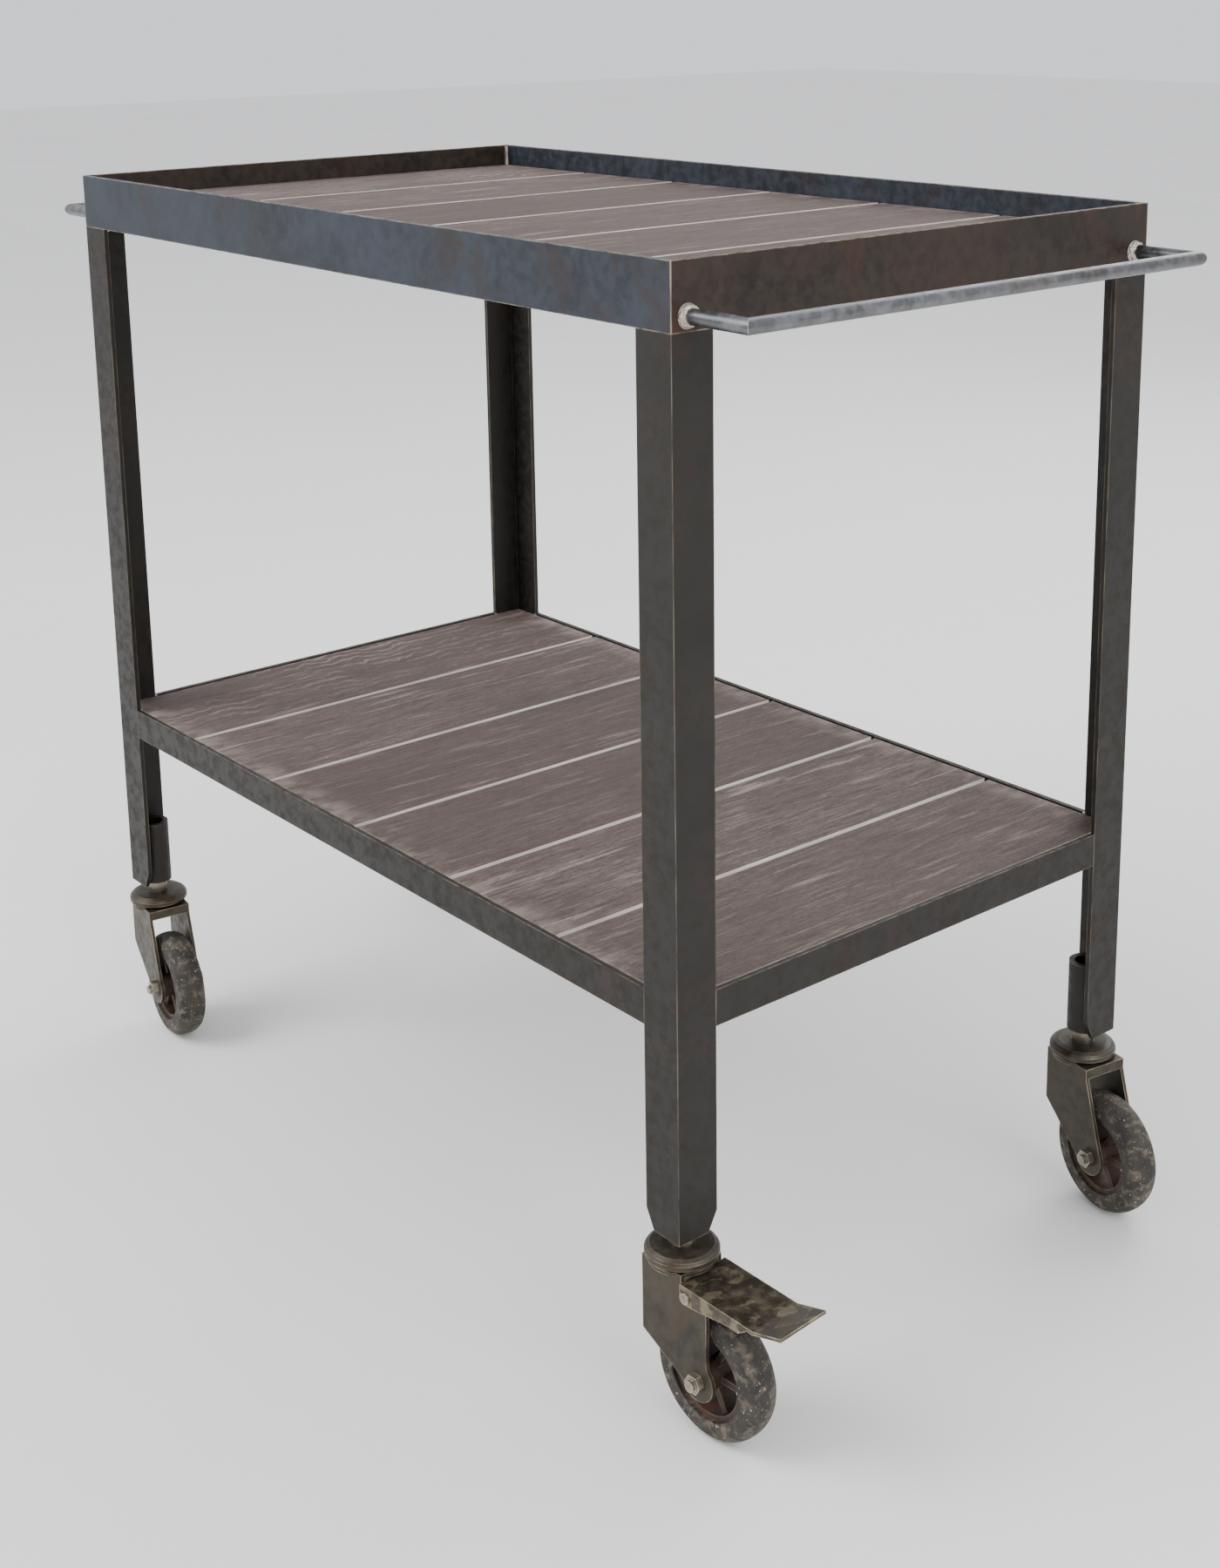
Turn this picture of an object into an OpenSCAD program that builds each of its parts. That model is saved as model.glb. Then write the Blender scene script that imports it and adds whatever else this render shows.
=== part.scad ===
/* [Overall] */
// Length of the frame over the legs
cart_l = 820; // [600:5:1200]
// Width of the frame over the legs
cart_w = 475; // [380:5:700]
// Height from the floor to the tray's rim
cart_h = 830; // [700:5:1200]
// Height from the floor to the shelf rails' top edge
shelf_h = 328; // [280:2:500]

/* [Steel angle] */
// Thickness of all the steel angle
steel_t = 4; // [3:0.5:5]
// Width of each leg flange
leg_flange = 35; // [32:1:50]
// Height of the tray rails
tray_rail_h = 46; // [42:1:70]
// Height of the shelf rails
shelf_rail_h = 27; // [24:1:50]
// Width of the ledge that carries the boards
ledge_w = 30; // [22:1:40]
// Width of the corner cut off each leg flange at its foot
foot_cut_w = 8; // [4:1:14]
// Height of that cut
foot_cut_h = 15; // [6:1:20]
// Leg of the fillet welds
weld_leg = 2.4; // [1.5:0.1:2.4]

/* [Boards] */
// Thickness of the boards
board_t = 22; // [18:1:28]
// Gap between two boards
board_gap = 5; // [2:0.5:10]
// Clearance between the boards and the steel round them
board_play = 2; // [2:0.1:6]
// Corner cut off the last shelf board
board_corner_cut = 12; // [5:1:20]

/* [Screws] */
// Radius of a deck screw
screw_r = 2.5; // [2:0.25:3]
// Length of a deck screw under its head
screw_l = 20; // [12:1:20]
// Distance of a screw from its board's edge
screw_edge = 24; // [15:1:35]

/* [Handles] */
// Radius of the handle rod
rod_r = 5.5; // [4:0.5:8]
// Reach of the handle from the rail to its outside
handle_reach = 61.5; // [45:0.5:90]
// Distance of a handle's end from the frame's corner
handle_inset = 8.5; // [4:0.5:40]
// Height of the rod's centre above the tray rail's lower edge
handle_rise = 10; // [9:1:30]

/* [Casters] */
// Radius of the wheels
wheel_r = 50; // [40:0.5:75]
// Width of the tyres
tyre_w = 26; // [20:1:28]
// Thickness of rubber on the wheel
tyre_t = 17; // [8:1:18]
// Distance from the swivel axis back to the axle
trail = 34; // [28:1:45]
// Gap between the wheel and the fork's top plate
crown_gap = 22.5; // [18:0.5:30]
// Thickness of the fork's steel
fork_t = 3; // [2:0.5:4]
// Gap between the fork's two blades
fork_gap = 34; // [32:1:44]
// Radius of the bearing cap
cap_r = 27; // [25:0.5:34]
// Height of the bearing cap
cap_h = 9; // [7:0.5:12]
// Gap between the cap and the fork's top plate
cap_gap = 1.5; // [1:0.5:2]
// Radius of a bearing ball
ball_r = 2; // [1.6:0.1:2.3]
// Number of balls in each bearing
ball_count = 16; // [8:1:20]
// Radius of the stem
stem_r = 9; // [6:0.5:9]
// Outer radius of the tube that holds the stem
tube_r = 13.5; // [11:0.5:14]
// Length of that tube
tube_l = 60; // [40:1:90]
// Radius of the axle bolt
axle_r = 4; // [3:0.5:5]
// Wall of the sleeve that the wheel turns on
sleeve_t = 2; // [1.5:0.1:2.4]
// Number of spokes in a wheel
spoke_count = 6; // [3:1:8]
// Gap between the cap and a leg's foot
foot_gap = 10; // [6:1:30]
// Direction of the front left wheel
swivel_front_left = -7; // [-180:1:180]
// Direction of the front right wheel
swivel_front_right = 4; // [-180:1:180]
// Direction of the back right wheel
swivel_back_right = -10; // [-180:1:180]
// Direction of the back left wheel
swivel_back_left = 172; // [-180:1:180]

/* [Brakes] */
// Half the width of a brake pedal
pedal_half_w = 22.5; // [22:0.5:28]
// Thickness of the pedal's steel
pedal_t = 2.5; // [2:0.5:3]
// Distance of the pedal's toe from the swivel axis
pedal_reach = 115; // [100:1:130]
// Radius of the pedal's pin
pedal_pin_r = 2.5; // [2:0.5:3]

/* [Hidden] */
$fn = 48;
fit = 0.05;        // radial clearance of every running fit
eps = 1;           // how far a cutting body runs past the face it opens
board_count = 6;    // boards in each deck, one named piece each
corner_sign = [[-1, -1], [1, -1], [1, 1], [-1, 1]];
braked = [false, true, false, true];
swivel_angle = [swivel_front_left, swivel_front_right, swivel_back_right, swivel_back_left];

tray_z = cart_h - tray_rail_h;      // underside of the tray rails
shelf_z = shelf_h - shelf_rail_h;   // underside of the shelf rails
board_l = cart_w - 2 * (steel_t + board_play);
deck_l = cart_l - 2 * (steel_t + board_play);
board_w = (deck_l - (board_count - 1) * board_gap) / board_count;
screw_y = cart_w / 2 - (ledge_w + steel_t) / 2;
screw_head_r = 1.7 * screw_r;
screw_head_h = 0.9 * screw_r;

axle_z = wheel_r;
plate_z = 2 * wheel_r + crown_gap;  // underside of the fork's top plate
plate_top = plate_z + fork_t;
cap_z = plate_top + cap_gap;
cap_top = cap_z + cap_h;
foot_z = cap_top + foot_gap;        // lower end of the legs
seam_leg = board_play - 0.4;        // fillets that stay clear of the boards
tube_z = foot_z + 1;
tube_gap = 0.05;
swivel_inset = steel_t + tube_r + tube_gap;
race_r = (cap_r + stem_r) / 2;
race_play = 0.2;
king_head_r = 1.6 * stem_r;
king_head_h = 4;
king_play = 0.5;

blade_in = fork_gap / 2;
blade_out = blade_in + fork_t;
blade_back = 20;         // rear edge of a blade, behind the swivel axis
blade_front = 28;        // front edge of an unbraked fork and of its plate
brake_blade_front = 43;  // front edge of a braked fork's blades
brake_plate_front = 19;
blade_foot_r = 15;       // round of a blade about the axle
lip_h = 5.5;
hub_r = 11;
hub_play = 1;         // hub to blade, each side
core_r = wheel_r - tyre_t;
rim_t = 4;
rim_w = tyre_w - 6;
spoke_t = 5;
spoke_w = tyre_w / 2;
sleeve_r = axle_r + fit + sleeve_t;
nut_r = 1.85 * axle_r;
nut_h = 1.3 * axle_r;
bolt_tip = 3;

pedal_top = plate_top - 4.5;
pedal_back = 20;
pedal_knee = pedal_reach - 26;
pedal_drop = 3;                    // fall of the tread from its back to its knee
toe_rise = 7;
pin_x = pedal_back + 6;
pin_z = pedal_top - 8;
pedal_cheek_in = blade_out + 0.5;
pedal_travel = 8;
shoe_x = [58, 66];
shoe_half_w = 12;
shoe_play = 1.5;

// Reflects a piece drawn for the (-X, -Y) corner into corner i
module at_corner(i) {
    mirror([corner_sign[i][0] > 0 ? 1 : 0, 0, 0])
        mirror([0, corner_sign[i][1] > 0 ? 1 : 0, 0])
            children();
}

// Puts a piece drawn about the swivel axis, wheel towards +X, at corner i
module at_caster(i) {
    translate([
        corner_sign[i][0] * (cart_l / 2 - swivel_inset),
        corner_sign[i][1] * (cart_w / 2 - swivel_inset),
        0
    ])
        rotate([0, 0, swivel_angle[i]])
            children();
}

// A plate standing on the XZ plane: outline in X and Z, from y0 to y1
module upright(y0, y1) {
    translate([0, y1, 0])
        rotate([90, 0, 0])
            linear_extrude(height = y1 - y0)
                children();
}

module leg_flange_outline(w) {
    polygon([
        [0, foot_z], [w - foot_cut_w, foot_z], [w, foot_z + foot_cut_h],
        [w, tray_z], [0, tray_z]
    ]);
}

module leg(i) {
    color("#2a2823")
        at_corner(i)
            translate([-cart_l / 2, -cart_w / 2, 0])
                union() {
                    upright(0, steel_t)
                        leg_flange_outline(leg_flange);
                    mirror([1, -1, 0])
                        upright(0, steel_t)
                            leg_flange_outline(leg_flange);
                }
}

// Plan of a mitred strip along the -Y side of a rectangle l by w
module mitred_plan(l, w, outer, inner) {
    polygon([
        [-l / 2 + outer, -w / 2 + outer], [l / 2 - outer, -w / 2 + outer],
        [l / 2 - inner, -w / 2 + inner], [-l / 2 + inner, -w / 2 + inner]
    ]);
}

module screw_holes_in_ledge(along_x, z) {
    if (along_x)
        for (b = [0 : board_count - 1], k = [0, 1])
            translate([screw_x(b, k), -screw_y, z - eps])
                cylinder(r = screw_r + fit, h = steel_t + 2 * eps);
}

// A tray rail drawn along the -Y side: l is its own length, w the other way
module tray_rail(l, w, along_x) {
    color("#2f3236")
        difference() {
            union() {
                translate([0, 0, tray_z])
                    linear_extrude(height = tray_rail_h)
                        mitred_plan(l, w, 0, steel_t);
                translate([0, 0, tray_z])
                    linear_extrude(height = steel_t)
                        mitred_plan(l, w, steel_t, ledge_w);
            }
            screw_holes_in_ledge(along_x, tray_z);
        }
}

module shelf_rail(l, w, along_x) {
    color("#2b2620")
        difference() {
            union() {
                translate([-l / 2 + leg_flange, -w / 2, shelf_z])
                    cube([l - 2 * leg_flange, steel_t, shelf_rail_h]);
                translate([0, 0, shelf_z])
                    linear_extrude(height = steel_t)
                        mitred_plan(l, w, steel_t, ledge_w);
            }
            screw_holes_in_ledge(along_x, shelf_z);
        }
}

function board_x(b) = -deck_l / 2 + b * (board_w + board_gap);
function screw_x(b, k) = board_x(b) + (k == 0 ? screw_edge : board_w - screw_edge);

module board(b, deck_z, corner_cut) {
    color("#7b6a66")
        difference() {
            translate([board_x(b), -board_l / 2, deck_z + steel_t])
                cube([board_w, board_l, board_t]);
            for (s = [-1, 1], k = [0, 1])
                translate([screw_x(b, k), s * screw_y, deck_z + steel_t - eps])
                    cylinder(r = screw_r + fit, h = screw_l - steel_t + fit + eps);
            if (corner_cut > 0)
                translate([board_x(b) + board_w, board_l / 2, deck_z])
                    rotate([0, 0, 45])
                        cube([corner_cut * sqrt(2), 2 * corner_cut, 4 * board_t], center = true);
        }
}

module deck_screws() {
    color("#55504a")
        for (z = [tray_z, shelf_z], b = [0 : board_count - 1], k = [0, 1], s = [-1, 1])
            translate([screw_x(b, k), s * screw_y, z]) {
                cylinder(r = screw_r, h = screw_l);
                translate([0, 0, -screw_head_h])
                    cylinder(r = screw_head_r, h = screw_head_h);
            }
}

// A rod handle for the +X end; its corners are mitred
module handle(side) {
    bar_x = cart_l / 2 + handle_reach - rod_r;
    end_y = cart_w / 2 - handle_inset - rod_r;
    z = tray_z + handle_rise;
    far = 3 * rod_r;     // how far the mitre cuts run past the rod
    color("#4a4b4c")
        mirror([side < 0 ? 1 : 0, 0, 0])
            union() {
                for (s = [-1, 1])
                    intersection() {
                        translate([cart_l / 2, s * end_y, z])
                            rotate([0, 90, 0])
                                cylinder(r = rod_r, h = handle_reach + far);
                        translate([bar_x, s * end_y, z - far])
                            linear_extrude(height = 2 * far)
                                polygon([
                                    [-handle_reach - far, -far], [-handle_reach - far, far],
                                    [s * far, far], [-s * far, -far]
                                ]);
                    }
                intersection() {
                    translate([bar_x, end_y + far, z])
                        rotate([90, 0, 0])
                            cylinder(r = rod_r, h = 2 * (end_y + far));
                    translate([bar_x, 0, z - far])
                        linear_extrude(height = 2 * far)
                            polygon([
                                [-far, -end_y + far], [far, -end_y - far],
                                [far, end_y + far], [-far, end_y - far]
                            ]);
                }
            }
}

// Fillet rings where the handles meet the rails
module handle_welds() {
    color("#9a958c")
        for (side = [-1, 1], s = [-1, 1])
            mirror([side < 0 ? 1 : 0, 0, 0])
                translate([cart_l / 2, s * (cart_w / 2 - handle_inset - rod_r), tray_z + handle_rise])
                    rotate([0, 90, 0])
                        rotate_extrude()
                            polygon([
                                [rod_r + fit, 0], [rod_r + 1.25 * weld_leg, 0],
                                [rod_r + 0.8 * weld_leg, 0.9 * weld_leg],
                                [rod_r + fit, 1.5 * weld_leg]
                            ]);
}

// A fillet in the inside corner at the origin, up the Z axis
module fillet(h) {
    intersection() {
        cylinder(r = weld_leg, h = h);
        cube([weld_leg, weld_leg, h]);
    }
}

module frame_welds() {
    leg_seam = leg_flange - steel_t - 2 * weld_leg;
    color("#8d8a82")
        for (i = [0 : 3])
            at_corner(i)
                translate([-cart_l / 2, -cart_w / 2, 0]) {
                    translate([steel_t, steel_t, tray_z + steel_t])
                        fillet(tray_rail_h - steel_t - 1);
                    translate([steel_t + 2 * weld_leg, steel_t, tray_z])
                        rotate([0, 90, 0])
                            fillet(leg_seam);
                    translate([steel_t, steel_t + 2 * weld_leg + leg_seam, tray_z])
                        rotate([90, 90, 0])
                            fillet(leg_seam);
                    translate([leg_flange, steel_t, shelf_z + steel_t])
                        intersection() {
                            cylinder(r = seam_leg, h = shelf_rail_h - steel_t);
                            translate([-seam_leg, 0, 0])
                                cube([2 * seam_leg, seam_leg, shelf_rail_h]);
                        }
                    translate([steel_t, leg_flange, shelf_z + steel_t])
                        intersection() {
                            cylinder(r = seam_leg, h = shelf_rail_h - steel_t);
                            translate([0, -seam_leg, 0])
                                cube([seam_leg, 2 * seam_leg, shelf_rail_h]);
                        }
                }
}

module stem_tubes() {
    color("#232120")
        for (i = [0 : 3])
            at_caster(i)
                translate([0, 0, tube_z])
                    difference() {
                        cylinder(r = tube_r, h = tube_l);
                        translate([0, 0, -eps])
                            cylinder(r = stem_r + fit, h = tube_l + 2 * eps);
                    }
}

module caster_stems() {
    color("#5b5750")
        for (i = [0 : 3])
            at_caster(i) {
                translate([0, 0, plate_z - king_play])
                    cylinder(r = stem_r, h = tube_z + 0.75 * tube_l - plate_z + king_play);
                translate([0, 0, plate_z - king_play - king_head_h])
                    cylinder(r = king_head_r, h = king_head_h);
            }
}

// The groove that the balls run in, half in the cap and half in the fork
module ball_race() {
    translate([0, 0, plate_top + cap_gap / 2])
        rotate_extrude()
            translate([race_r, 0])
                circle(r = ball_r + race_play);
}

module swivel_balls() {
    color("#b8b6b0")
        for (i = [0 : 3], k = [0 : ball_count - 1])
            at_caster(i)
                rotate([0, 0, 360 * k / ball_count])
                    translate([race_r, 0, plate_top + cap_gap / 2])
                        sphere(r = ball_r);
}

module bearing_cap(i) {
    shoulder = 0.28 * cap_h;
    color("#4b463c")
        at_caster(i)
            difference() {
                rotate_extrude()
                    polygon([
                        [stem_r + fit, cap_z], [cap_r - 0.5 * shoulder, cap_z],
                        [cap_r, cap_z + 0.4 * shoulder], [cap_r, cap_z + cap_h / 2],
                        [cap_r - 0.5 * shoulder, cap_z + 0.72 * cap_h],
                        [cap_r - 1.6 * shoulder, cap_z + 0.92 * cap_h],
                        [cap_r - 3 * shoulder, cap_top], [stem_r + fit, cap_top]
                    ]);
                ball_race();
            }
}

module blade_outline(brake) {
    foot_low = axle_z - 0.3 * blade_foot_r;
    polygon(concat(
        [[-blade_back, plate_z], [-blade_back, axle_z + (brake ? 17 : 30)],
         [trail - 0.95 * blade_foot_r, foot_low], [trail + 0.95 * blade_foot_r, foot_low],
         [trail + blade_foot_r, axle_z]],
        brake
            ? [[brake_blade_front, axle_z + 14], [brake_blade_front, pin_z + 0.8],
               [pin_x + 2, pin_z + 4], [brake_plate_front, pin_z + 4.5],
               [brake_plate_front, plate_z]]
            : [[blade_front, plate_z - lip_h], [blade_front, plate_z]]
    ));
    translate([trail, axle_z])
        circle(r = blade_foot_r);
}

module fork(i) {
    brake = braked[i];
    plate_front = brake ? brake_plate_front : blade_front;
    color("#35322b")
        at_caster(i)
            difference() {
                union() {
                    translate([0, 0, plate_z])
                        linear_extrude(height = fork_t)
                            union() {
                                circle(r = cap_r - 2.5);
                                translate([-blade_back, -blade_out])
                                    square([plate_front + blade_back, 2 * blade_out]);
                            }
                    for (s = [-1, 1])
                        upright(s > 0 ? blade_in : -blade_out, s > 0 ? blade_out : -blade_in)
                            blade_outline(brake);
                    if (!brake)
                        translate([blade_front - fork_t, -blade_in, plate_z - lip_h])
                            cube([fork_t, 2 * blade_in, lip_h]);
                }
                ball_race();
                translate([0, 0, plate_z - eps])
                    cylinder(r = stem_r + fit, h = fork_t + 2 * eps);
                translate([trail, 0, axle_z])
                    rotate([90, 0, 0])
                        cylinder(r = axle_r + fit, h = 3 * blade_out, center = true);
                if (brake)
                    translate([pin_x, 0, pin_z])
                        rotate([90, 0, 0])
                            cylinder(r = pedal_pin_r + fit, h = 3 * blade_out, center = true);
            }
}

// Turns a piece drawn up the Z axis about the origin into a wheel's place
module on_axle(i) {
    at_caster(i)
        translate([trail, 0, axle_z])
            rotate([90, 0, 0])
                children();
}

module wheel_core(i) {
    color("#3b2c25")
        on_axle(i)
            difference() {
                union() {
                    cylinder(r = hub_r, h = fork_gap - 2 * hub_play, center = true);
                    difference() {
                        cylinder(r = core_r - fit, h = rim_w, center = true);
                        cylinder(r = core_r - rim_t, h = rim_w + 2 * eps, center = true);
                    }
                    for (k = [0 : spoke_count - 1])
                        rotate([0, 0, 360 * k / spoke_count])
                            translate([hub_r / 2, -spoke_t / 2, -spoke_w / 2])
                                cube([core_r - rim_t / 2 - hub_r / 2, spoke_t, spoke_w]);
                }
                cylinder(r = sleeve_r + fit, h = fork_gap, center = true);
            }
}

module tyre(i) {
    half = tyre_w / 2;
    steps = 6;
    color("#2b2926")
        on_axle(i)
            rotate_extrude($fn = 96)
                polygon(concat(
                    [[core_r, half], [core_r, -half]],
                    [for (k = [-steps : steps])
                        let (a = 90 * k / steps)
                            [wheel_r - 0.45 * tyre_t * (1 - cos(a)), half * sin(a)]]
                ));
}

module axle_bolt(i) {
    color("#8a8578")
        on_axle(i) {
            translate([0, 0, -blade_out])
                cylinder(r = axle_r, h = 2 * blade_out + nut_h + bolt_tip);
            translate([0, 0, -blade_out - nut_h])
                cylinder(r = nut_r, h = nut_h, $fn = 6);
            translate([0, 0, blade_out])
                difference() {
                    cylinder(r = nut_r, h = nut_h, $fn = 6);
                    translate([0, 0, -eps])
                        cylinder(r = axle_r + fit, h = nut_h + 2 * eps);
                }
        }
}

module axle_sleeve(i) {
    color("#a8a59c")
        on_axle(i)
            difference() {
                cylinder(r = sleeve_r, h = fork_gap - 2 * fit, center = true);
                cylinder(r = axle_r + fit, h = fork_gap + 2 * eps, center = true);
            }
}

module brake_pedal(i) {
    knee_z = pedal_top - pedal_drop;
    color("#4a4438")
        at_caster(i)
            difference() {
                union() {
                    upright(-pedal_half_w, pedal_half_w)
                        polygon([
                            [pedal_back, pedal_top], [pedal_knee, knee_z],
                            [pedal_reach, knee_z + toe_rise],
                            [pedal_reach, knee_z + toe_rise - pedal_t],
                            [pedal_knee, knee_z - 1.05 * pedal_t], [pedal_back, pedal_top - pedal_t]
                        ]);
                    for (s = [-1, 1])
                        upright(
                            s > 0 ? pedal_cheek_in : -pedal_half_w,
                            s > 0 ? pedal_half_w : -pedal_cheek_in
                        )
                            polygon([
                                [pedal_back, pedal_top - 0.5 * pedal_t],
                                [pedal_knee - 4, knee_z - 0.5 * pedal_t],
                                [pedal_knee - 10, knee_z - 2.4 * pedal_t],
                                [pin_x + 10, pin_z - 5.5], [pin_x, pin_z - 6],
                                [pedal_back, pin_z - 3]
                            ]);
                    upright(-shoe_half_w, shoe_half_w)
                        polygon([
                            [shoe_x[0], shoe_z], [shoe_x[1], shoe_z],
                            [shoe_x[1], pedal_under(shoe_x[1]) + 0.4 * pedal_t],
                            [shoe_x[0], pedal_under(shoe_x[0]) + 0.4 * pedal_t]
                        ]);
                }
                translate([pin_x, 0, pin_z])
                    rotate([90, 0, 0])
                        cylinder(r = pedal_pin_r + fit, h = 3 * pedal_half_w, center = true);
            }
}

// Underside of the pedal's tread at x, and of the shoe that stays off the tyre
function pedal_under(x) =
    pedal_top - pedal_t - pedal_drop * (x - pedal_back) / (pedal_knee - pedal_back);
function tyre_top(x) = axle_z + sqrt(wheel_r * wheel_r - (x - trail) * (x - trail));
function shoe_floor(x) = tyre_top(x) + (x - pin_x) * sin(pedal_travel) + shoe_play;
shoe_z = max(shoe_floor(shoe_x[0]), shoe_floor((shoe_x[0] + shoe_x[1]) / 2), shoe_floor(shoe_x[1]));

module pedal_pin(i) {
    color("#8a8578")
        at_caster(i)
            translate([pin_x, 0, pin_z])
                rotate([90, 0, 0])
                    union() {
                        cylinder(r = pedal_pin_r, h = 2 * pedal_half_w + 1, center = true);
                        for (s = [-1, 1])
                            translate([0, 0, s * (pedal_half_w + 1.25)])
                                cylinder(r = 1.6 * pedal_pin_r, h = 1.5, center = true);
                    }
}

leg(0);  // leg_front_left
leg(1);  // leg_front_right
leg(2);  // leg_back_right
leg(3);  // leg_back_left
tray_rail(cart_l, cart_w, true);  // tray_rail_front
rotate([0, 0, 180]) tray_rail(cart_l, cart_w, true);  // tray_rail_back
rotate([0, 0, -90]) tray_rail(cart_w, cart_l, false);  // tray_rail_left
rotate([0, 0, 90]) tray_rail(cart_w, cart_l, false);  // tray_rail_right
shelf_rail(cart_l, cart_w, true);  // shelf_rail_front
rotate([0, 0, 180]) shelf_rail(cart_l, cart_w, true);  // shelf_rail_back
rotate([0, 0, -90]) shelf_rail(cart_w, cart_l, false);  // shelf_rail_left
rotate([0, 0, 90]) shelf_rail(cart_w, cart_l, false);  // shelf_rail_right
board(0, tray_z, 0);  // tray_board_1
board(1, tray_z, 0);  // tray_board_2
board(2, tray_z, 0);  // tray_board_3
board(3, tray_z, 0);  // tray_board_4
board(4, tray_z, 0);  // tray_board_5
board(5, tray_z, 0);  // tray_board_6
board(0, shelf_z, 0);  // shelf_board_1
board(1, shelf_z, 0);  // shelf_board_2
board(2, shelf_z, 0);  // shelf_board_3
board(3, shelf_z, 0);  // shelf_board_4
board(4, shelf_z, 0);  // shelf_board_5
board(5, shelf_z, board_corner_cut);  // shelf_board_6
handle(-1);  // handle_left
handle(1);  // handle_right
handle_welds();
frame_welds();
deck_screws();
stem_tubes();
caster_stems();
swivel_balls();
bearing_cap(0);  // bearing_cap_front_left
bearing_cap(1);  // bearing_cap_front_right
bearing_cap(2);  // bearing_cap_back_right
bearing_cap(3);  // bearing_cap_back_left
fork(0);  // fork_front_left
fork(1);  // fork_front_right
fork(2);  // fork_back_right
fork(3);  // fork_back_left
wheel_core(0);  // wheel_core_front_left
wheel_core(1);  // wheel_core_front_right
wheel_core(2);  // wheel_core_back_right
wheel_core(3);  // wheel_core_back_left
tyre(0);  // tyre_front_left
tyre(1);  // tyre_front_right
tyre(2);  // tyre_back_right
tyre(3);  // tyre_back_left
axle_bolt(0);  // axle_bolt_front_left
axle_bolt(1);  // axle_bolt_front_right
axle_bolt(2);  // axle_bolt_back_right
axle_bolt(3);  // axle_bolt_back_left
axle_sleeve(0);  // axle_sleeve_front_left
axle_sleeve(1);  // axle_sleeve_front_right
axle_sleeve(2);  // axle_sleeve_back_right
axle_sleeve(3);  // axle_sleeve_back_left
brake_pedal(1);  // brake_pedal_front_right
brake_pedal(3);  // brake_pedal_back_left
pedal_pin(1);  // pedal_pin_front_right
pedal_pin(3);  // pedal_pin_back_left
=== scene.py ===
import bpy
import math
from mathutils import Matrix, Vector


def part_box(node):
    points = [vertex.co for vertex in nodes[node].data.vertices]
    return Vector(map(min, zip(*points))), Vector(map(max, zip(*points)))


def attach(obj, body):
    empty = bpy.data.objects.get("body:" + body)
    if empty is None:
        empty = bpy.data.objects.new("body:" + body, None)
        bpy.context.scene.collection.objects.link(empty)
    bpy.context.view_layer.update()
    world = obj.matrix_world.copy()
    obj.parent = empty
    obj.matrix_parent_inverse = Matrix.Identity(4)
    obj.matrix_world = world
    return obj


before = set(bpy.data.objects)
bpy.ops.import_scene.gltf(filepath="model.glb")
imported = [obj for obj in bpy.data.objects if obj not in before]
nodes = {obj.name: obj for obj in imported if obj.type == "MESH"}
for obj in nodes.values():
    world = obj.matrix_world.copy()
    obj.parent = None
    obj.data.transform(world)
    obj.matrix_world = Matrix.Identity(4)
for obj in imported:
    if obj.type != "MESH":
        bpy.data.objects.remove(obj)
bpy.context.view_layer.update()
print("frame loaded:", len(nodes), "pieces")


def hexColour(text):
    channels = [int(text[k:k + 2], 16) / 255 for k in (1, 3, 5)]
    linear = [c / 12.92 if c <= 0.04045 else ((c + 0.055) / 1.055) ** 2.4 for c in channels]
    return (*linear, 1.0)


def addNode(mat, kind, settings=None, links=None):
    node = mat.node_tree.nodes.new(kind)
    for key, value in (settings or {}).items():
        if isinstance(key, str) and hasattr(node, key):
            setattr(node, key, value)
        else:
            node.inputs[key].default_value = value
    for key, source in (links or {}).items():
        mat.node_tree.links.new(source, node.inputs[key])
    return node


def newMaterial(name):
    mat = bpy.data.materials.new(name)
    mat.use_nodes = True
    return mat, mat.node_tree.nodes["Principled BSDF"]


def place(mat, stretch):
    coords = addNode(mat, "ShaderNodeTexCoord")
    return addNode(mat, "ShaderNodeMapping", {"Scale": stretch},
                   {"Vector": coords.outputs["Object"]}).outputs[0]


def noise(mat, stretch, low, high, detail=5.0, rough=0.6, warp=0.0):
    tex = addNode(mat, "ShaderNodeTexNoise",
                  {"Scale": 1.0, "Detail": detail, "Roughness": rough, "Distortion": warp},
                  {"Vector": place(mat, stretch)})
    return addNode(mat, "ShaderNodeMapRange", {1: low, 2: high}, {0: tex.outputs[0]}).outputs[0]


def blendColour(mat, factor, first, second):
    settings, links = {"data_type": "RGBA"}, {0: factor}
    for key, value in ((6, first), (7, second)):
        if isinstance(value, str):
            settings[key] = hexColour(value)
        else:
            links[key] = value
    return addNode(mat, "ShaderNodeMix", settings, links).outputs[2]


def calc(mat, what, a, b):
    settings, links = {"operation": what, "use_clamp": True}, {}
    for key, value in ((0, a), (1, b)):
        if isinstance(value, (int, float)):
            settings[key] = value
        else:
            links[key] = value
    return addNode(mat, "ShaderNodeMath", settings, links).outputs[0]


def edgeMask(mat, radiusMm):
    rounded = addNode(mat, "ShaderNodeBevel", {"samples": 6, "Radius": radiusMm / 1000})
    flat = addNode(mat, "ShaderNodeNewGeometry")
    dot = addNode(mat, "ShaderNodeVectorMath", {"operation": "DOT_PRODUCT"},
                  {0: rounded.outputs[0], 1: flat.outputs["Normal"]})
    return addNode(mat, "ShaderNodeMapRange", {1: 0.995, 2: 0.90},
                   {0: dot.outputs["Value"]}).outputs[0]


def bump(mat, shader, height, depthMm, strength=1.0):
    node = addNode(mat, "ShaderNodeBump", {"Distance": depthMm / 1000, "Strength": strength},
                   {"Height": height})
    mat.node_tree.links.new(node.outputs[0], shader.inputs["Normal"])


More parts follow.
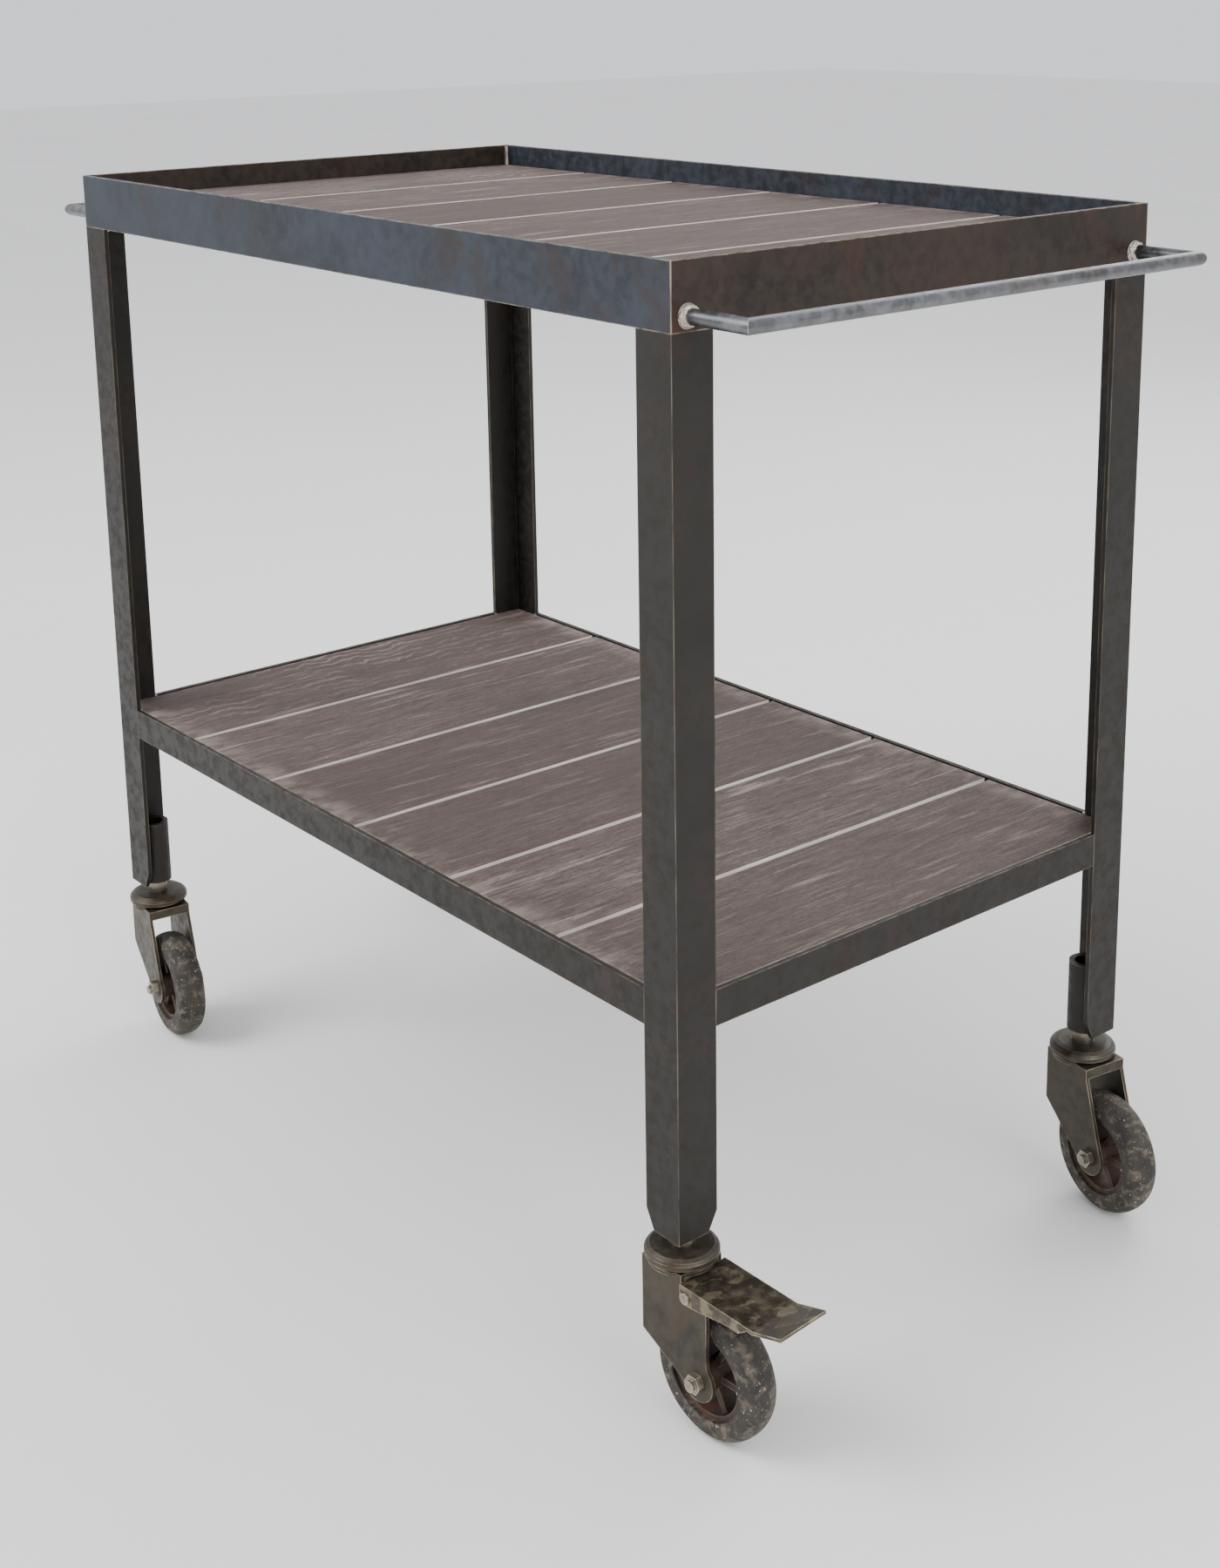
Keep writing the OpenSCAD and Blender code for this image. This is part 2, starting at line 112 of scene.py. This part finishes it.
steelLook = {"patchMm": 70, "mottleMm": 9, "scratchMm": 0.5, "wearMm": 1.2}


def makeSteel(name, dark, mid, light, rust, wear, metal=0.55, gloss=0.42):
    mat, shader = newMaterial(name)
    patch = noise(mat, (1000 / steelLook["patchMm"],) * 3, 0.36, 0.66, warp=0.6)
    mottle = noise(mat, (1000 / steelLook["mottleMm"],) * 3, 0.42, 0.68)
    fine = noise(mat, (1000 / steelLook["scratchMm"], 60, 60), 0.40, 0.72, detail=3)
    colour = blendColour(mat, patch, dark, mid)
    colour = blendColour(mat, calc(mat, "MULTIPLY", mottle, 0.55), colour, light)
    rusty = noise(mat, (22, 22, 14), 0.56, 0.70, warp=0.8)
    colour = blendColour(mat, calc(mat, "MULTIPLY", rusty, 0.7), colour, rust)
    worn = calc(mat, "MULTIPLY", edgeMask(mat, steelLook["wearMm"]),
                noise(mat, (90, 90, 30), 0.34, 0.62))
    colour = blendColour(mat, worn, colour, wear)
    roughness = addNode(mat, "ShaderNodeMapRange", {3: gloss, 4: gloss + 0.26}, {0: mottle})
    shader.inputs["Metallic"].default_value = metal
    mat.node_tree.links.new(colour, shader.inputs["Base Color"])
    mat.node_tree.links.new(roughness.outputs[0], shader.inputs["Roughness"])
    height = calc(mat, "ADD", calc(mat, "MULTIPLY", fine, 0.35), calc(mat, "MULTIPLY", mottle, 0.5))
    bump(mat, shader, height, 0.12, 0.6)
    return mat


# blue-black mill scale whose blue cast is a painted cool reflection: the painted sheen gives the long rails
# their cold look
steelWithPaintedCoolSheen = makeSteel("Dark mill scale, painted cool sheen", "#20242a", "#2f343d", "#40454e", "#332a27", "#a49a86", 0.45)
# brown oiled scale: the end rails look warm and blotched
warmSteel = makeSteel("Brown oiled scale", "#211a15", "#30251f", "#3f332b", "#43241c", "#b09a7c", 0.45)
# dark oiled steel: keeps the legs quieter than the rails
legSteel = makeSteel("Dark oiled steel", "#161411", "#221e19", "#2f2922", "#2b1d17", "#7b705e", 0.4, 0.46)
# rubbed bare rod: a soft grey highlight where hands have been
rodSteel = makeSteel("Hand rubbed rod", "#4b4b4c", "#6a6b6e", "#8a8a8a", "#54473d", "#c0bab0", 0.85, 0.30)
# lumpy weld metal: the brightest spots on the frame
weldSteel = makeSteel("Raw weld metal", "#8d8577", "#b9b1a2", "#e2dccd", "#7b6a58", "#f0eadc", 0.8, 0.34)
# caster pressing: dark brown with a pale rubbed edge
casterSteel = makeSteel("Rubbed caster pressing", "#2c2821", "#423c32", "#5b5345", "#4a3427",
                        "#b5a88c", 0.6, 0.38)
# cast wheel centre: dull brown iron
wheelIron = makeSteel("Brown cast centre", "#2f231d", "#49382f", "#5d4a3e", "#5a3526", "#8b7763", 0.3, 0.55)
# worn bright steel: bolts and pins that catch the light
brightSteel = makeSteel("Worn bright steel", "#6c665a", "#928b7d", "#b9b2a3", "#5f4c3c",
                        "#ddd6c6", 0.9, 0.30)
# trodden pedal: bare pale patches where shoes have rubbed
pedalSteel = makeSteel("Trodden pedal", "#332e26", "#4b4438", "#7d7460", "#54402f", "#cfc3a6", 0.7, 0.34)
treadSpots = noise(pedalSteel, (70, 45, 70), 0.54, 0.60, detail=3, warp=0.3)
pedalShader = pedalSteel.node_tree.nodes["Principled BSDF"]
underColour = pedalShader.inputs["Base Color"].links[0].from_socket
bareColour = blendColour(pedalSteel, calc(pedalSteel, "MULTIPLY", treadSpots, 0.28), underColour, "#b7ab8c")
pedalSteel.node_tree.links.new(bareColour, pedalShader.inputs["Base Color"])
print("steels made")

rubberLook = {"dust": "#8a7d6b", "dark": "#221f1c", "mid": "#3a342d"}


# dusty rubber: pale specks trodden into a dark tread
def makeRubber():
    mat, shader = newMaterial("Dusty rubber")
    colour = blendColour(mat, noise(mat, (60, 60, 60), 0.38, 0.64), rubberLook["dark"], rubberLook["mid"])
    dusty = calc(mat, "MULTIPLY", noise(mat, (110, 110, 110), 0.50, 0.72, warp=0.5), 0.55)
    colour = blendColour(mat, dusty, colour, rubberLook["dust"])
    specks = calc(mat, "MULTIPLY", noise(mat, (420, 420, 420), 0.66, 0.74, detail=2), 0.8)
    colour = blendColour(mat, specks, colour, "#c9bda6")
    mat.node_tree.links.new(colour, shader.inputs["Base Color"])
    shader.inputs["Roughness"].default_value = 0.72
    bump(mat, shader, noise(mat, (500, 500, 500), 0.35, 0.70), 0.25, 0.7)
    return mat


tyreRubber = makeRubber()

woodLook = {"grainMm": 3.2, "poreMm": 0.7, "pitch": 0.1355, "start": 0.4055}


# weathered boards: grey-mauve with fine dark grain along the board; their sides carry a painted near-white
# highlight
def makeWood():
    mat, shader = newMaterial("Weathered sawn board")
    coords = addNode(mat, "ShaderNodeTexCoord")
    parts = addNode(mat, "ShaderNodeSeparateXYZ", links={0: coords.outputs["Object"]})
    shifted = addNode(mat, "ShaderNodeMath", {"operation": "ADD", 1: woodLook["start"]},
                      {0: parts.outputs[0]})
    count = addNode(mat, "ShaderNodeMath", {"operation": "DIVIDE", 1: woodLook["pitch"]},
                    {0: shifted.outputs[0]})
    index = addNode(mat, "ShaderNodeMath", {"operation": "FLOOR"}, {0: count.outputs[0]})
    deck = addNode(mat, "ShaderNodeMath", {"operation": "GREATER_THAN", 1: 0.5}, {0: parts.outputs[2]})
    seed = addNode(mat, "ShaderNodeMath", {"operation": "MULTIPLY_ADD", 1: 7.31},
                   {0: deck.outputs[0], 2: index.outputs[0]})
    luck = addNode(mat, "ShaderNodeTexWhiteNoise", {"noise_dimensions": "1D"},
                   {"W": seed.outputs[0]}).outputs["Value"]

    streak = noise(mat, (1000 / woodLook["grainMm"], 26, 120), 0.32, 0.70,
                   detail=10, rough=0.68, warp=0.9)
    pore = noise(mat, (1000 / woodLook["poreMm"], 260, 500), 0.50, 0.70, detail=4)
    broad = noise(mat, (26, 5, 8), 0.34, 0.66, warp=0.7)
    pale = noise(mat, (150, 11, 60), 0.58, 0.72, detail=6)
    colour = blendColour(mat, streak, "#33271f", "#83716b")
    colour = blendColour(mat, calc(mat, "MULTIPLY", broad, 0.65), colour, "#4d3f3a")
    colour = blendColour(mat, calc(mat, "MULTIPLY", pale, 0.6), colour, "#b3a49b")
    colour = blendColour(mat, calc(mat, "MULTIPLY", pore, 0.7), colour, "#241b17")
    colour = blendColour(mat, calc(mat, "MULTIPLY", luck, 0.6), colour, "#463732")

    saw = addNode(mat, "ShaderNodeTexWave", {"Scale": 1.0, "Distortion": 9.0, "Detail": 4.0},
                  {"Vector": place(mat, (24, 34, 1))}).outputs["Fac"]
    leftEnd = addNode(mat, "ShaderNodeMapRange", {1: -0.26, 2: -0.30}, {0: parts.outputs[0]}).outputs[0]
    sawPatch = calc(mat, "MULTIPLY", noise(mat, (14, 10, 5), 0.42, 0.66), 0.4)
    sawn = calc(mat, "MULTIPLY", calc(mat, "POWER", saw, 6.0), calc(mat, "MULTIPLY", leftEnd, sawPatch))
    colour = blendColour(mat, sawn, colour, "#b7a69b")
    side = addNode(mat, "ShaderNodeMath", {"operation": "ABSOLUTE"}, {0: parts.outputs[1]})
    ends = addNode(mat, "ShaderNodeMapRange", {1: 0.205, 2: 0.231}, {0: side.outputs[0]}).outputs[0]
    ends = calc(mat, "MULTIPLY", ends, noise(mat, (60, 30, 30), 0.40, 0.66))
    colour = blendColour(mat, calc(mat, "MULTIPLY", ends, 0.55), colour, "#a99891")
    worn = calc(mat, "MULTIPLY", edgeMask(mat, 1.6), noise(mat, (60, 60, 60), 0.35, 0.65))
    colour = blendColour(mat, calc(mat, "MULTIPLY", worn, 0.7), colour, "#c3b1a6")
    # painted highlight: board sides facing ±X are coloured near-white so the gaps between boards read as
    # bright lines; this is not the wood's colour
    surface = addNode(mat, "ShaderNodeNewGeometry")
    facing = addNode(mat, "ShaderNodeSeparateXYZ", links={0: surface.outputs["True Normal"]})
    sideways = addNode(mat, "ShaderNodeMath", {"operation": "ABSOLUTE"}, {0: facing.outputs[0]})
    paintedGapLightMask = addNode(mat, "ShaderNodeMapRange", {1: 0.55, 2: 0.8}, {0: sideways.outputs[0]}).outputs[0]
    paintedGapLight = blendColour(mat, noise(mat, (200, 12, 200), 0.35, 0.65), "#cfc6bb", "#f1ece4")
    colour = blendColour(mat, paintedGapLightMask, colour, paintedGapLight)
    mat.node_tree.links.new(colour, shader.inputs["Base Color"])
    shader.inputs["Roughness"].default_value = 0.78
    bump(mat, shader, calc(mat, "SUBTRACT", streak, calc(mat, "MULTIPLY", pore, 0.8)), 0.6, 0.8)
    return mat


boardWood = makeWood()
print("wood and rubber made")

lookOf = {
    # the long rails get the steel whose blue cast is a painted cool reflection
    "tray_rail_front": steelWithPaintedCoolSheen, "tray_rail_back": steelWithPaintedCoolSheen,
    "tray_rail_left": warmSteel, "tray_rail_right": warmSteel,
    "leg_": legSteel, "shelf_rail_": legSteel, "stem_tubes": legSteel,
    "tray_board_": boardWood, "shelf_board_": boardWood, "handle_welds": weldSteel,
    "handle_": rodSteel, "frame_welds": weldSteel, "deck_screws": brightSteel,
    "caster_stems": brightSteel, "swivel_balls": brightSteel, "axle_": brightSteel,
    "pedal_pin_": brightSteel, "bearing_cap_": casterSteel, "fork_": casterSteel,
    "brake_pedal_": pedalSteel, "wheel_core_": wheelIron, "tyre_": tyreRubber,
}
roundMm = {"tray_board_": 0.6, "shelf_board_": 0.6, "leg_": 0.8, "tray_rail_": 0.8, "shelf_rail_": 0.8,
           "bearing_cap_": 0.5, "fork_": 0.5, "brake_pedal_": 0.6, "wheel_core_": 0.8, "axle_bolt_": 0.3}
for name, piece in nodes.items():
    start = next(key for key in lookOf if name.startswith(key))
    piece.data.materials.clear()
    piece.data.materials.append(lookOf[start])
    for key, width in roundMm.items():
        if name.startswith(key):
            soften = piece.modifiers.new("Soft edges", "BEVEL")
            soften.width = width / 1000
            soften.segments = 2
            soften.limit_method = "ANGLE"
            soften.angle_limit = math.radians(40)
print("pieces dressed")

weldLook = {"sizeMm": 7.5, "lumpMm": 1.5, "reachMm": 3.0}


def handleBlob(side, across, seed):
    low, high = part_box("handle_right")
    atX = side * (low.x + weldLook["reachMm"] / 2000)
    atY = across * (high.y - 0.0055)
    bpy.ops.object.select_all(action="DESELECT")
    bpy.ops.mesh.primitive_ico_sphere_add(subdivisions=5, radius=weldLook["sizeMm"] / 1000,
                                          location=(atX, atY, (low.z + high.z) / 2))
    blob = bpy.context.object
    blob.name = f"handle_weld_{seed}"
    blob.scale = (0.55, 1.15, 1.0)
    bpy.ops.object.transform_apply(location=True, rotation=False, scale=True)
    bpy.ops.object.mode_set(mode="EDIT")
    bpy.ops.mesh.select_all(action="SELECT")
    bpy.ops.transform.vertex_random(offset=weldLook["lumpMm"] / 1000, uniform=0.0, normal=1.0, seed=seed)
    bpy.ops.mesh.vertices_smooth(factor=0.6, repeat=3)
    bpy.ops.mesh.normals_make_consistent(inside=False)
    bpy.ops.object.mode_set(mode="OBJECT")
    bpy.ops.object.shade_smooth()
    blob.data.materials.append(weldSteel)
    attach(blob, "frame")


for number, (side, across) in enumerate(((1, -1), (1, 1), (-1, -1), (-1, 1))):
    handleBlob(side, across, number + 3)
print("weld blobs made")

floorLook = {"size": 30.0, "tone": "#f4f3f1"}
bpy.ops.object.select_all(action="DESELECT")
bpy.ops.mesh.primitive_plane_add(size=floorLook["size"], location=(0, 0, 0))
floor = bpy.context.object
floor.name = "floor"
floorMat, floorShader = newMaterial("Pale plain floor")
floorTone = blendColour(floorMat, noise(floorMat, (1.5, 1.5, 1.5), 0.3, 0.7), floorLook["tone"], "#f0efec")
floorMat.node_tree.links.new(floorTone, floorShader.inputs["Base Color"])
floorShader.inputs["Roughness"].default_value = 0.85
floor.data.materials.append(floorMat)

world = bpy.data.worlds.new("Soft studio")
world.use_nodes = True
world.node_tree.nodes["Background"].inputs[0].default_value = (0.93, 0.95, 1.0, 1.0)
world.node_tree.nodes["Background"].inputs[1].default_value = 1.15
bpy.context.scene.world = world

lampLook = {
    "Key": ((-1.4, -2.6, 2.9), 2.2, 120),
    "Fill": ((3.0, -0.2, 1.9), 1.8, 45),
    "Back": ((-0.4, 2.8, 2.4), 2.0, 50),
}
for name, (spot, size, power) in lampLook.items():
    light = bpy.data.lights.new(name, "AREA")
    light.size = size
    light.energy = power
    lamp = bpy.data.objects.new(name, light)
    lamp.location = spot
    aim = -lamp.location.copy()
    aim.z += 0.45
    lamp.rotation_euler = aim.to_track_quat("-Z", "Y").to_euler()
    bpy.context.collection.objects.link(lamp)

cameraLook = {"place": (1.40674, -1.08504, 1.0032), "turn": (76.8358, 0.6029, 49.9509),
              "lens": 48.845, "shiftX": -0.02893, "shiftY": -0.2}
lensData = bpy.data.cameras.new("Camera")
lensData.lens = cameraLook["lens"]
lensData.sensor_width = 36
lensData.shift_x = cameraLook["shiftX"]
lensData.shift_y = cameraLook["shiftY"]
camera = bpy.data.objects.new("Camera", lensData)
camera.location = cameraLook["place"]
camera.rotation_euler = [math.radians(a) for a in cameraLook["turn"]]
bpy.context.collection.objects.link(camera)
bpy.context.scene.camera = camera
print("stage set")
